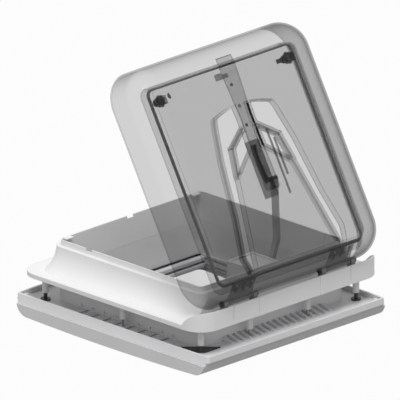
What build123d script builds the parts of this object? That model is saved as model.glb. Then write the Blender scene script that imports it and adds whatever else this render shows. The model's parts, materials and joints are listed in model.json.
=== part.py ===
"""Roof vent for a caravan: a smoked double dome on a white outer frame, lifted by a
worm-driven arm, over an inner frame with a roller blind, a roller flyscreen and a ceiling trim.

Millimetres, +Z up. The origin is the centre of the roof cut-out on the roof's outer skin.
X runs along the hinge line, -Y is the hinge side, +Y the side that opens.
The dome is drawn closed, with u along it from the hinge axis and n above the axis,
and is then turned open about that axis.
"""

from build123d import *
import math
import os

os.makedirs("parts", exist_ok=True)

# Roof and opening
clear_opening = 351.0
opening_corner_r = 9.0
cutout_lap = 24.5
roof_thickness = 40.7
fit_gap = 0.2
moving_gap = 0.5
overrun = 2.0

# Outer frame
flange_land = 22.5
flange_corner_r = 41.0
flange_thick = 8.0
shell = 2.4
lip_wall = 2.3
lip_top = 64.5
ledge_z = 54.5
ledge_overhang = 8.2
wall_foot_out = 31.0
wall_sag = 5.0
neck_joint_z = 10.8
seal_land = 6.0
seal_width = 20.0
seal_depth = 5.0
hollow_reach = 10.5
lip_notch_width = 16.0
lip_notch_depth = 5.0
side_notch_y = 94.0
side_clip_y = -134.0
clip_wall = 1.6
clip_drop = 12.0

# Hinge side of the outer frame
panel_top = 35.0
panel_wall = 3.0
panel_end = 48.0
panel_bend = (32.5, 24.5)
panel_full = 6.0
panel_pad_at = 76.5
panel_pad_width = 13.5
panel_pad_proud = 1.0
panel_groove_at = 146.0
panel_groove = 2.0
trough_gap = 9.4

# Screws and pillars
pillar_r = 6.0
pillar_bottom = -35.0
side_pillar_x = 72.0
screw_r = 2.0
screw_head_r = 4.2
screw_head = 3.0
screw_bite = 30.0
screw_clear = 0.15

# Inner frame
neck_wall = 4.0
tray_reach_x = 40.8
tray_reach_y = 60.15
tray_flare = 2.7
tray_step = 5.2
tray_step_drop = 11.8
tray_corner_r = 6.0
tray_wall = 4.0
tray_bottom = -58.0
floor_top = -49.0
floor_thick = 3.0
rib_pitch = 14.35
rib_width = 6.4
rib_high = 8.0
rib_low = 0.8
rib_length = 27.0
slot_width = 6.0
slot_length = 21.0
vent_hole = (7.6, 5.0)
vent_hole_wide = 9.6
vent_hole_lift = 3.8
lug_r = 4.0
lug_height = 6.0
lug_inset = 12.0
edge_slot = (1.5, 4.0)

# Corner plates and corner feet
plate_leg = 49.0
plate_thick = 2.5
plate_chamfer = 10.6
plate_reach = 7.7
foot_r = 9.0
sleeve_r = 3.4

# Ceiling trim: flat sides, with round ends and a bowed bottom
trim_proud = 3.0
trim_end_r = 25.0
trim_end_out = 59.1
trim_end_z = -54.0
trim_bow = 3.6
trim_wall = 3.0
trim_foot_share = 0.6
trim_inner_x = 4.5
trim_inner_y = 2.5

# Dome
hinge_out = 41.7
hinge_z = 39.4
open_angle = 60.0
dome_overhang = 45.5
dome_start = -1.5
dome_end_out = 50.8
dome_rim = -26.0
dome_top = 57.0
dome_corner_r = 58.0
dome_edge_r = 46.0
dome_draft = 2.2
dome_wall = 3.0
hinge_slot_low = 78.0
hinge_slot_high = 166.0
hinge_slot_top = 9.0

# Inner pane of the dome, with leaning walls: at its rim and its crown, how far it reaches
# past the opening at the sides, on the hinge side and at the back, and its corner
pane_wall = 2.5
pane_rim = 15.4
pane_crown = 41.0
pane_rim_reach = (10.5, 26.6, 11.8, 18.0)
pane_crown_reach = (2.5, 6.0, 6.3, 14.0)
bond_gap = 0.15

# Recess in the top of the dome, as places across and along it
recess_floor = 44.2
recess_outer = [(116, 35), (122, 62), (106, 132), (89.5, 238), (74, 300), (70, 310)]
recess_peak = 322.0
island_outline = [(105, 35), (71, 198), (18, 242), (12, 263)]
rib_outline = [(12, 284), (57, 252), (68, 202)]
recess_rib = 8.0
spine_half = [(22.0, 440.0), (22.0, 380.0), (17.0, 300.0), (20.0, 163.0), (13.0, 158.0)]
stiffener_wall = 3.0

# Seal between dome and frame
seal_thick = 3.5
seal_low = 25.4
seal_high = 29.0

# Hinges
hinge_at = 122.0
hinge_pin_r = 3.0
hinge_pin_length = 82.0
hinge_pin_clear = 0.05
knuckle_r = 6.0
knuckle_width = 9.0
hinge_foot_thick = 3.0
hinge_foot_y = (-7.3, 11.2)
leaf_width = 56.0
leaf_length = 22.0
leaf_thick = 3.0
leaf_root = 4.5
leaf_screw_r = 2.6
leaf_screw_head = 1.6

# Lifting gear
arm_pivot_in = 32.5
arm_pivot_z = 40.0
arm_ratio = 1.4
arm_tip_u = 180.0
arm_tip_n = 32.0
arm_bend = (-17.7, 60.6)
arm_x = (24.6, 33.6)
arm_half_depth = 5.0
arm_shaft_r = 5.0
guide_pin_r = 2.5
guide_roller_r = 3.8
rail_x = (1.5, 20.5)
rail_u = (150.0, 256.0)
rail_low = 20.8
rail_slot_depth = 14.0
slot_clear = 0.45
guide_steps = 12

# Gear housing and worm gear
housing_x = (-42.0, 24.0)
housing_depth = 69.5
housing_low = -20.0
housing_top = 59.0
housing_wall = 3.0
cover_thick = 3.0
cover_recess = 1.4
cover_border = 6.0
gear_module = 1.5
gear_teeth = 22
wheel_width = 6.0
wheel_x = -5.0
worm_pitch_r = 7.5
worm_half_length = 14.0
worm_shaft_r = 4.0
tooth_tip = 1.35
tooth_root = 1.75
tooth_backlash = 0.25
tooth_flank = 20.0
bush_wall = 2.0
running_clear = 0.05

# Crank console and crank
console_z = (-46.0, -43.0)
console_depth = 89.5
crank_hub_r = 9.0
crank_hub_z = (-58.0, -47.0)
crank_arm_z = (-58.0, -53.0)
crank_length = 27.0
crank_arm_width = 11.0
knob_r = 5.5
knob_pin_r = 2.5
knob_z = (-74.0, -58.5)

# Roller blind and flyscreen
rail_in = 7.5
rail_out = 0.6
side_rail_z = (-71.3, -49.5)
rail_groove = 4.0
rail_groove_depth = 5.0
screen_level = -55.5
blind_level = -67.6
roller_r = 7.0
roller_pin_r = 2.5
roller_over = 6.5
screen_roller_out = 19.0
blind_roller_out = 36.5
roller_z = -63.0
bracket_thick = 4.0
bracket_foot = 2.8
bar_in = 19.5
bar_depth = 11.5
bar_height = 8.0
bar_tongue = 4.0
bar_tongue_height = 2.6
cloth_thick = 0.6
pull_grip = (36.0, 7.0, 2.2)

# Catches on the dome
catch_in = 16.5
catch_back = 19.0
catch_base = (22.0, 16.0, 4.0)
catch_post_r = 6.0
catch_pin_r = 3.0
catch_boss_r = 7.0
catch_lever = (17.0, 8.0, 4.0)
catch_level = 18.6
keeper = (18.0, 9.0, 2.1)
centre_catch_in = 5.7
centre_catch = (14.0, 8.0, 20.0)
centre_catch_nose = 4.0

# Places worked out from the sizes above
open_half = clear_opening / 2
roof_cutout = clear_opening + 2 * cutout_lap
lip_out = open_half + lip_wall
ledge_half = lip_out + ledge_overhang
foot_half = open_half + wall_foot_out
flange_size = 2 * (foot_half + flange_land)
panel_face = -flange_size / 2
tub_wall_y = -lip_out - trough_gap
neck_half = open_half + neck_wall
plate_inner = 2 * (neck_half + hollow_reach)
pillar_at = roof_cutout / 2 - pillar_r - fit_gap
plate_corner_at = pillar_at + plate_reach
tray_x = 2 * (neck_half + tray_reach_x)
tray_y = 2 * (neck_half + tray_reach_y)
tray_low_x = tray_x + 2 * tray_flare
tray_step_y = tray_y / 2 - tray_step
trim_x = tray_low_x + 2 * trim_proud
trim_end_y = open_half + trim_end_out - trim_end_r
rim_top = -roof_thickness
floor_low = floor_top - floor_thick
trim_top = tray_bottom - fit_gap
hinge_y = -open_half - hinge_out
dome_half_x = open_half + dome_overhang
dome_end = open_half + dome_end_out - hinge_y
pane_low = pane_crown - pane_wall
arm_pivot_y = -open_half + arm_pivot_in
worm_y = arm_pivot_y + gear_module * gear_teeth / 2 + worm_pitch_r
housing_inner_y = -open_half + housing_depth
console_y = (-open_half + moving_gap, -open_half + console_depth)
side_rail_x = (open_half - rail_in, open_half - rail_out)
side_rail_y = (-side_rail_x[0], side_rail_x[0])
roller_half = open_half + roller_over
screen_roller_y = open_half + screen_roller_out
blind_roller_y = open_half + blind_roller_out
bar_y = (open_half - bar_in, open_half - bar_in + bar_depth)
catch_at = open_half - catch_in
catch_u = open_half - catch_back - hinge_y
centre_catch_u = open_half - centre_catch_in - hinge_y
thread_pitch = math.pi * gear_module
hinge_axis = Axis((0, hinge_y, hinge_z), (1, 0, 0))


def block(xs, ys, zs):
    """A plain block between two corners."""
    size = [high - low for low, high in (xs, ys, zs)]
    middle = [(high + low) / 2 for low, high in (xs, ys, zs)]
    return Pos(*middle) * Box(*size)


def plate(width, depth, corner, z_low, z_high, y=0):
    """A flat plate with rounded corners."""
    outline = Pos(0, y, z_low) * RectangleRounded(width, depth, corner)
    return extrude(outline, z_high - z_low)


def ring(width, depth, corner, wall, z_low, z_high, y=0):
    """A plate with a hole that leaves a wall all round."""
    hole = plate(width - 2 * wall, depth - 2 * wall, corner - wall, z_low - overrun, z_high + overrun, y)
    return plate(width, depth, corner, z_low, z_high, y) - hole


def rod(x, y, z_low, z_high, r):
    """An upright rod."""
    return Pos(x, y, (z_low + z_high) / 2) * Cylinder(r, z_high - z_low)


def cross_rod(x_low, x_high, y, z, r):
    """A rod that lies along X."""
    return Pos((x_low + x_high) / 2, y, z) * Rot(0, 90, 0) * Cylinder(r, x_high - x_low)


def prism_x(points, x_low, x_high):
    """A flat outline in Y and Z, carried along X."""
    face = make_face(Polyline(*[(x_low, y, z) for y, z in points], close=True))
    return extrude(face, x_high - x_low, dir=(1, 0, 0))


def prism_z(points, z_low, z_high):
    """A flat outline in X and Y, carried up."""
    face = make_face(Polyline(*[(x, y, z_low) for x, y in points], close=True))
    return extrude(face, z_high - z_low, dir=(0, 0, 1))


def opening_path():
    """The line round the clear opening that the wall sections follow."""
    half, r = open_half, opening_corner_r
    flat = half - r
    edges = []
    start = (half, 0, 0)
    for turn in range(4):
        spin = Rot(0, 0, 90 * turn)
        edges.append(spin * Line(start, (half, flat, 0)))
        edges.append(spin * CenterArc((flat, flat, 0), r, 0, 90))
        edges.append(spin * Line((flat, half, 0), (0, half, 0)))
    return Wire([edge for part in edges for edge in part.edges()])


def around(outline):
    """Carry a section, drawn at +X in X and Z, round the opening."""
    path = opening_path()
    return sweep(make_face(outline), path=path)


def wall_section(inset):
    """The outside line of the sweeping wall, moved in by a thickness."""
    low = (foot_half - inset, 0, flange_thick)
    high = (ledge_half - inset, 0, ledge_z - inset)
    run, rise = high[0] - low[0], high[2] - low[2]
    span = math.hypot(run, rise)
    middle = ((low[0] + high[0]) / 2 - wall_sag * rise / span, 0,
              (low[2] + high[2]) / 2 + wall_sag * run / span)
    return ThreePointArc(low, middle, high)


def outer_frame():
    """White outer frame: flange, sweeping wall, ledge, lip, hinge panel and screw pillars."""
    solid = around(wall_section(0) + Polyline(
        (ledge_half, 0, ledge_z), (lip_out, 0, ledge_z), (lip_out, 0, lip_top), (open_half, 0, lip_top),
        (open_half, 0, 0), (foot_half, 0, 0), (foot_half, 0, flange_thick)))
    hollow_half = plate_inner / 2
    hollow = around(wall_section(shell) + Polyline(
        (ledge_half - shell, 0, ledge_z - shell), (lip_out, 0, ledge_z - shell),
        (lip_out, 0, -overrun), (hollow_half, 0, -overrun), (hollow_half, 0, flange_thick),
        (foot_half - shell, 0, flange_thick)))
    neck_room = plate(2 * lip_out + overrun, 2 * lip_out + overrun, opening_corner_r + lip_wall,
                      -overrun, neck_joint_z + fit_gap)
    frame = solid - hollow - neck_room
    flange = plate(flange_size, flange_size, flange_corner_r, 0, flange_thick)
    flange -= plate(plate_inner, plate_inner, opening_corner_r + neck_wall, -overrun, flange_thick + overrun)
    # The hinge side has an upright wall in place of the sweep, to leave a trough for the dome's rim
    across = (-flange_size, flange_size)
    trough = block(across, (-flange_size, tub_wall_y), (flange_thick, lip_top + overrun))
    tub_wall = solid & block(across, (tub_wall_y, tub_wall_y + shell), (flange_thick, ledge_z))
    frame = frame - trough + tub_wall + flange
    frame += hinge_panel()
    for x, y in pillar_places():
        frame += rod(x, y, pillar_bottom, flange_thick - shell, pillar_r)
    frame -= ring(flange_size - 2 * seal_land, flange_size - 2 * seal_land, flange_corner_r - seal_land,
                  seal_width, -overrun, seal_depth)
    for x, y in pillar_places():
        frame -= rod(x, y, pillar_bottom - overrun, pillar_bottom + screw_bite, screw_r + screw_clear)
    for x in catch_places().values():
        width, depth, height = keeper
        frame += block((x - width / 2, x + width / 2), (open_half - depth, open_half + lip_wall / 2),
                       (lip_top - height, lip_top))
    return frame - lip_notches()


def hinge_panel():
    """Upright panel on the hinge edge of the flange, with two pads and two fine grooves."""
    wall = ring(flange_size, flange_size, flange_corner_r, panel_wall, 0, panel_top)
    wall &= extrude(panel_profile(), 2 * flange_size, dir=(1, 0, 0))
    face = panel_face
    for side in (-1, 1):
        middle = side * panel_pad_at
        wall += block((middle - panel_pad_width / 2, middle + panel_pad_width / 2),
                      (face - panel_pad_proud, face + panel_wall), (0, panel_top))
        middle = side * panel_groove_at
        wall -= block((middle - panel_groove / 2, middle + panel_groove / 2),
                      (face - overrun, face + panel_wall / 3), (flange_thick, panel_top + overrun))
    return wall


def panel_profile():
    """Side view of the hinge panel, whose top edge falls in a curve round each corner."""
    start = -flange_size
    end = (start, panel_face + panel_end, flange_thick)
    bend = (start, panel_face + panel_bend[0], panel_bend[1])
    full = (start, panel_face + panel_full, panel_top)
    low = (start, panel_face + panel_end, 0)
    outline = ThreePointArc(end, bend, full) + Polyline(
        full, (start, panel_face - overrun, panel_top), (start, panel_face - overrun, 0), low, end)
    return make_face(outline)


def lip_notches():
    """Cut-outs in the lip: for the centre catch, on the left, and for the clip on the right."""
    low = lip_top - lip_notch_depth
    back = block((-lip_notch_width / 2, lip_notch_width / 2), (open_half - overrun, lip_out + overrun),
                 (low, lip_top + overrun))
    side = block((-lip_out - overrun, -open_half + overrun),
                 (side_notch_y, side_notch_y + lip_notch_width), (low, lip_top + overrun))
    clip = block((open_half - overrun, lip_out + overrun),
                 (side_clip_y, side_clip_y + lip_notch_width), (low, lip_top + overrun))
    return back + side + clip


def pillar_places():
    """Where the frame screws stand: the corners, the sides, the hinge side and the back."""
    at = pillar_at
    corners = [(x, y) for x in (-at, at) for y in (-at, at)]
    sides = [(-at, 0), (at, 0)]
    ends = [(x, y) for x in (-side_pillar_x, side_pillar_x) for y in (-at, at)]
    return corners + sides + ends


def roof_seal():
    """Foam strip under the flange that seals on the roof's outer skin."""
    size = flange_size - 2 * seal_land
    return ring(size - fit_gap, size - fit_gap, flange_corner_r - seal_land, seal_width - fit_gap,
                0, seal_depth - fit_gap)


def side_clip():
    """Small clip that hangs in a notch of the right-hand lip."""
    low, high = lip_top - lip_notch_depth, lip_top
    ys = (side_clip_y + fit_gap, side_clip_y + lip_notch_width - fit_gap)
    clip = block((open_half - clip_wall - fit_gap, lip_out), ys, (low, high))
    return clip + block((open_half - clip_wall - fit_gap, open_half - fit_gap), ys, (low - clip_drop, high))


def inner_frame():
    """Light grey inner frame: the neck through the roof and the tray that clamps the ceiling."""
    upper = Pos(0, 0, rim_top) * RectangleRounded(tray_x, tray_y, tray_corner_r)
    lower = Pos(0, 0, tray_bottom) * RectangleRounded(tray_low_x, tray_y, tray_corner_r)
    inner_up = Pos(0, 0, rim_top + fit_gap) * RectangleRounded(
        tray_x - 2 * tray_wall, tray_y - 2 * tray_wall, tray_corner_r - tray_wall)
    inner_low = Pos(0, 0, tray_bottom - fit_gap) * RectangleRounded(
        tray_low_x - 2 * tray_wall, tray_y - 2 * tray_wall, tray_corner_r - tray_wall)
    outside = loft([lower, upper])
    wall = outside - loft([inner_low, inner_up])
    floor = plate(tray_low_x - tray_wall, tray_y - tray_wall, tray_corner_r, floor_low, floor_top)
    floor &= outside
    neck = plate(2 * neck_half, 2 * neck_half, opening_corner_r + neck_wall, floor_low, neck_joint_z)
    body = wall + floor + neck
    # Below the tray's end walls the body steps in, down to the trim
    for side in (-1, 1):
        step = sorted((side * tray_step_y, side * tray_y))
        body -= block((-tray_x, tray_x), step, (tray_bottom - overrun, rim_top - tray_step_drop))
        foot = sorted((side * tray_step_y, side * (tray_step_y - tray_wall)))
        body += block((-tray_x / 2, tray_x / 2), foot, (tray_bottom, floor_top))
    body -= plate(clear_opening, clear_opening, opening_corner_r, tray_bottom - overrun,
                  neck_joint_z + overrun)
    body += floor_ribs()
    body -= floor_slots()
    body -= neck_holes()
    for x in (-1, 1):
        for y in (-1, 1):
            at_x = x * (tray_x / 2 - lug_inset)
            at_y = y * (tray_y / 2 - lug_inset)
            body += rod(at_x, at_y, floor_top - floor_thick / 2, floor_top + lug_height, lug_r)
    for x, y in pillar_places():
        body -= rod(x, y, tray_bottom - overrun, floor_top + rib_high + overrun, screw_r + screw_clear)
    return body


def rib_places(pitch):
    """Evenly spaced places between the corner plates, with one gap in the middle."""
    count = int((neck_half - plate_leg) / pitch)
    return [(step + 1 / 2) * pitch for step in range(-count, count)]


def floor_ribs():
    """Sloping ribs between the neck and the tray floor, on the hinge side and at the back."""
    ribs = None
    for side in (-1, 1):
        start = side * (neck_half - fit_gap)
        end = side * (neck_half + rib_length)
        outline = [(start, floor_top - fit_gap), (start, floor_top + rib_high), (end, floor_top + rib_low),
                   (end, floor_top - fit_gap)]
        for x in rib_places(rib_pitch):
            rib = prism_x(outline, x - rib_width / 2, x + rib_width / 2)
            ribs = rib if ribs is None else ribs + rib
    return ribs


def floor_slots():
    """Slots through the tray floor on the left and right, and a groove at each end of the back wall."""
    slots = None
    for side in (-1, 1):
        start, end = sorted((side * neck_half, side * (neck_half + slot_length)))
        for y in rib_places(2 * rib_pitch):
            slot = block((start, end), (y - slot_width / 2, y + slot_width / 2),
                         (floor_low - overrun, floor_top + overrun))
            slots = slot if slots is None else slots + slot
        deep, wide = edge_slot
        reach = tray_y / 2 - tray_wall - fit_gap
        across = sorted((side * (pillar_at - pillar_r), side * (pillar_at - pillar_r - rib_length)))
        slots += block(across, (reach - wide, reach), (floor_top - deep, floor_top + overrun))
    return slots


def neck_holes():
    """Pockets round the foot of the neck, one in each gap between the ribs."""
    pockets = None
    width, height = vent_hole
    low = floor_top + vent_hole_lift
    depth = neck_wall / 2
    count = len(rib_places(rib_pitch)) // 2 - 1
    for step in range(-count, count + 1):
        at = step * rib_pitch
        for side in (-1, 1):
            reach = sorted((side * (neck_half - depth), side * (neck_half + overrun)))
            cuts = [block((at - width / 2, at + width / 2), reach, (low, low + height))]
            if step % 2 == 0:
                across = (at - vent_hole_wide / 2, at + vent_hole_wide / 2)
                cuts.append(block(reach, across, (low, low + height)))
            for cut in cuts:
                pockets = cut if pockets is None else pockets + cut
    return pockets


def corner_plates():
    """Black plates in two corners and round feet in the others, each with a screw sleeve."""
    at, leg, cut = plate_corner_at, plate_leg, plate_chamfer
    outline = [(at - cut, at), (at, at - cut), (at, at - leg), (at - leg, at)]
    high = floor_top + plate_thick
    pieces = []
    for turn, (x, y) in zip((0, 2), ((pillar_at, pillar_at), (-pillar_at, -pillar_at))):
        pieces.append((x, y, Rot(0, 0, 90 * turn) * prism_z(outline, floor_top, high)))
    for x, y in ((-pillar_at, pillar_at), (pillar_at, -pillar_at)):
        pieces.append((x, y, rod(x, y, floor_top, high, foot_r)))
    finished = []
    for x, y, piece in pieces:
        piece += rod(x, y, floor_top, pillar_bottom - fit_gap, sleeve_r)
        piece -= rod(x, y, floor_top - overrun, pillar_bottom + overrun, screw_r + screw_clear)
        finished.append(piece)
    return finished


def clamp_screws():
    """Long screws from under the tray up into the frame's pillars."""
    screws = []
    for x, y in pillar_places():
        shank = rod(x, y, floor_low - fit_gap, pillar_bottom + screw_bite - moving_gap, screw_r)
        head = rod(x, y, floor_low - screw_head, floor_low, screw_head_r)
        screws.append(shank + head)
    return screws


def trim_shape(inset):
    """The trim's block, moved in by a thickness: round ends and a bowed bottom, carried along X."""
    half, r = trim_x / 2 - inset, trim_end_r - inset
    side = math.sqrt(r * r - (trim_top - trim_end_z) ** 2)
    lean = math.radians(45)
    low = trim_end_z - r

    def place(y, z):
        return (-half, y, z)

    def end_arc(sign):
        first = place(sign * (trim_end_y + side), trim_top)
        middle = place(sign * (trim_end_y + r * math.cos(lean)), trim_end_z - r * math.sin(lean))
        return ThreePointArc(first, middle, place(sign * trim_end_y, low))

    bottom = ThreePointArc(place(-trim_end_y, low), place(0, low - trim_bow), place(trim_end_y, low))
    top = Line(place(-trim_end_y - side, trim_top), place(trim_end_y + side, trim_top))
    body = extrude(make_face(end_arc(-1) + bottom + end_arc(1) + top), 2 * half, dir=(1, 0, 0))
    if inset:
        body += block((-half, half), (-trim_end_y - side, trim_end_y + side), (trim_top, trim_top + overrun))
    return body


def ceiling_trim():
    """Darker trim under the inner frame: a shallow tray with flat sides and rounded ends."""
    outside = trim_shape(0)
    open_x, open_y = clear_opening - 2 * trim_inner_x, clear_opening - 2 * trim_inner_y
    foot_low = trim_end_z - trim_end_r
    low = foot_low - trim_bow
    collar = plate(open_x + 2 * trim_wall, open_y + 2 * trim_wall, opening_corner_r + trim_wall,
                   low, side_rail_z[0] - fit_gap)
    body = outside - trim_shape(trim_wall) + (collar & outside)
    for x, y in trim_feet():
        body += rod(x, y, foot_low, floor_low - fit_gap, lug_r)
    return body - plate(open_x, open_y, opening_corner_r, low - overrun, trim_top)


def trim_feet():
    """Posts that join the trim to the tray, clear of the rollers."""
    side = neck_half + slot_length
    ends = neck_half * trim_foot_share
    return [(-side, -ends), (-side, ends), (side, -ends), (side, ends), (-ends, -side), (ends, -side)]


def dome_shape(inset, lift):
    """The dome's block: drafted sides, round corners and a round top edge."""
    width = 2 * (dome_half_x - inset)
    depth = dome_end - dome_start - 2 * inset
    middle = hinge_y + (dome_end + dome_start) / 2
    outline = Pos(0, middle, hinge_z + dome_rim - lift) * RectangleRounded(
        width, depth, dome_corner_r - inset)
    height = dome_top - dome_rim - inset + lift
    body = extrude(outline, height, taper=dome_draft)
    top = body.faces().sort_by(Axis.Z)[-1]
    return fillet(top.outer_wire().edges(), dome_edge_r - inset)


def closed_point(x, u):
    """A place on the closed dome, in X and Y."""
    return (x, hinge_y + u)


def mirrored(points):
    """An outline given for one side, closed through its mirror image."""
    right = [closed_point(x, u) for x, u in points]
    left = [closed_point(-x, u) for x, u in reversed(points)]
    return right + left


def grown(face, amount):
    """A flat outline made larger or smaller all round."""
    return offset(face, amount, kind=Kind.INTERSECTION)


def recess(extra, z_low, z_high):
    """The A-shaped recess in the dome's top, grown by the wall where it is wrapped below."""
    tip = closed_point(0, recess_peak)
    right = [closed_point(x, u) for x, u in recess_outer]
    left = [closed_point(-x, u) for x, u in reversed(recess_outer)]
    outline = Polyline(*right) + ThreePointArc(right[-1], tip, left[0]) + Polyline(*left)
    outline += Line(left[-1], right[0])
    area = make_face(outline)
    island = make_face(Polyline(*mirrored(island_outline), close=True))
    spine = make_face(Polyline(*mirrored(spine_half), close=True))
    area = grown(area, extra) if extra else area
    solid = extrude(Pos(0, 0, z_low) * area, z_high - z_low)
    keep = [grown(island, -extra) if extra else island, grown(spine, -extra) if extra else spine]
    for piece in keep:
        solid -= extrude(Pos(0, 0, z_low - overrun) * piece, z_high - z_low + 2 * overrun)
    for side in (-1, 1):
        solid -= recess_rib_wall(side, extra, z_low - overrun, z_high + overrun)
    return solid


def recess_rib_wall(side, extra, z_low, z_high):
    """The slim rib that crosses each leg of the recess."""
    half = recess_rib / 2 - extra
    if half <= 0:
        half = recess_rib / 8
    line = Polyline(*[closed_point(side * x, u) for x, u in rib_outline])
    wall = None
    for edge in line.edges():
        start, end = edge @ 0, edge @ 1
        along = (end - start).normalized()
        across = Vector(-along.Y, along.X, 0) * half
        reach = along * half
        corners = [start - reach + across, end + reach + across,
                   end + reach - across, start - reach - across]
        strip = prism_z([(p.X, p.Y) for p in corners], z_low, z_high)
        wall = strip if wall is None else wall + strip
    return wall


def dome_outer():
    """Smoked outer skin of the dome."""
    top = hinge_z + dome_top + overrun
    floor = hinge_z + recess_floor
    outside = dome_shape(0, 0) - recess(0, floor, top)
    inside = dome_shape(dome_wall, overrun) - recess(dome_wall, floor - dome_wall, top)
    skin = outside - inside
    for side in (-1, 1):
        xs = sorted((side * hinge_slot_low, side * hinge_slot_high))
        skin -= block(xs, (hinge_y + dome_start - overrun, hinge_y + knuckle_r + moving_gap),
                      (hinge_z + dome_rim - overrun, hinge_z + hinge_slot_top))
    return skin


def pane_level(n, inset):
    """The inner pane's outline at a height on the dome, moved in by a thickness."""
    share = (n - pane_rim) / (pane_crown - pane_rim)
    side, near, far, corner = [
        low + (high - low) * share for low, high in zip(pane_rim_reach, pane_crown_reach)]
    outline = RectangleRounded(2 * (open_half + side - inset), clear_opening + near + far - 2 * inset,
                               corner - inset)
    return Pos(0, (far - near) / 2, hinge_z + n) * outline


def pane_block(inset, low, high):
    """The block between two heights of the inner pane, moved in by a thickness."""
    return loft([pane_level(low, inset), pane_level(high, inset)])


def dome_inner():
    """Clear inner pane: a flat crown bonded under the recess, with leaning walls."""
    return pane_block(0, pane_rim, pane_crown) - pane_block(pane_wall, pane_rim - overrun, pane_low)


def dome_seal():
    """Rubber ring inside the inner pane's wall, level with the frame's lip."""
    start = pane_wall + bond_gap
    hole = pane_block(start + seal_thick, seal_low - overrun, seal_high + overrun)
    return pane_block(start, seal_low, seal_high) - hole


def dome_stiffener():
    """Smoked strip bonded under the dome's top, along its spine."""
    gap = dome_wall + bond_gap
    outline = grown(make_face(Polyline(*mirrored(spine_half), close=True)), -gap)
    low = hinge_z + dome_top - gap - stiffener_wall
    return extrude(Pos(0, 0, low) * outline, stiffener_wall) & dome_shape(gap, overrun)


def hinge_places():
    """Where the two hinges stand along X."""
    return {"left": -hinge_at, "right": hinge_at}


def hinge_pin(x):
    """Steel pin along the hinge axis."""
    half = hinge_pin_length / 2
    return cross_rod(x - half, x + half, hinge_y, hinge_z, hinge_pin_r)


def hinge_base(x):
    """Fixed half of a hinge: a foot on the trough floor and two knuckles."""
    half = hinge_pin_length / 2
    low = flange_thick + fit_gap
    feet = (hinge_y + hinge_foot_y[0], hinge_y + hinge_foot_y[1])
    base = block((x - half, x + half), feet, (low, low + hinge_foot_thick))
    for side in (-1, 1):
        xs = sorted((x + side * half, x + side * (half - knuckle_width)))
        base += cross_rod(*xs, hinge_y, hinge_z, knuckle_r)
        base += block(xs, (hinge_y - knuckle_r, hinge_y + knuckle_r), (low, hinge_z))
    return base - cross_rod(x - half - overrun, x + half + overrun, hinge_y, hinge_z,
                            hinge_pin_r)


def pane_slope():
    """How far the pane's hinge-side wall runs and rises from its rim to its crown."""
    return pane_rim_reach[1] - pane_crown_reach[1], pane_crown - pane_rim


def on_slope(along, out):
    """A place, along and above the dome, up the pane's hinge-side wall and out from it."""
    run, rise = pane_slope()
    span = math.hypot(run, rise)
    foot = -open_half - pane_rim_reach[1] - hinge_y
    return (foot + (along * run - out * rise) / span, pane_rim + (along * rise + out * run) / span)


def hinge_leaf(x):
    """Moving half of a hinge: a knuckle on the pin and a plate on the pane's leaning wall."""
    half = leaf_width / 2
    reach = knuckle_r - moving_gap
    outline = [(0, 0), (reach, 0), on_slope(0, fit_gap), on_slope(leaf_length, fit_gap),
               on_slope(leaf_length, fit_gap + leaf_thick), on_slope(0, fit_gap + leaf_thick),
               (leaf_root, hinge_slot_top), (0, reach)]
    leaf = cross_rod(x - half, x + half, hinge_y, hinge_z, knuckle_r)
    leaf += prism_x([(hinge_y + u, hinge_z + n) for u, n in outline], x - half, x + half)
    return leaf - cross_rod(x - half - overrun, x + half + overrun, hinge_y, hinge_z,
                            hinge_pin_r + hinge_pin_clear)


def leaf_screws():
    """Short screws that hold the hinge leaves to the inner pane."""
    run, rise = pane_slope()
    u, n = on_slope(leaf_length * 2 / 3, fit_gap + leaf_thick + leaf_screw_head / 2)
    screws = []
    for x in hinge_places().values():
        for side in (-1, 1):
            place = Pos(x + side * leaf_width / 3, hinge_y + u, hinge_z + n)
            lean = Rot(math.degrees(math.atan2(rise, run)), 0, 0)
            screws.append(place * lean * Cylinder(leaf_screw_r, leaf_screw_head))
    return screws


def dome_place(y, z, angle):
    """Where a point lies along and above the dome when it is open by an angle."""
    turn = math.radians(angle)
    dy, dz = y - hinge_y, z - hinge_z
    return (dy * math.cos(turn) + dz * math.sin(turn), -dy * math.sin(turn) + dz * math.cos(turn))


def open_place(u, n, angle):
    """Where a point of the dome lies in Y and Z when it is open by an angle."""
    turn = math.radians(angle)
    return (hinge_y + u * math.cos(turn) - n * math.sin(turn),
            hinge_z + u * math.sin(turn) + n * math.cos(turn))


def guide_path():
    """The line of the guide slot on the closed dome, from the arm's own swing."""
    tip_y, tip_z = open_place(arm_tip_u, arm_tip_n, open_angle)
    reach = math.hypot(tip_y - arm_pivot_y, tip_z - arm_pivot_z)
    lean = math.degrees(math.atan2(tip_z - arm_pivot_z, tip_y - arm_pivot_y))
    path = []
    for step in range(guide_steps + 1):
        angle = open_angle * (1 - step / guide_steps)
        arm = math.radians(lean - arm_ratio * (open_angle - angle))
        u, n = dome_place(arm_pivot_y + reach * math.cos(arm), arm_pivot_z + reach * math.sin(arm), angle)
        path.append((hinge_y + u, hinge_z + n))
    return path


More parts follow.
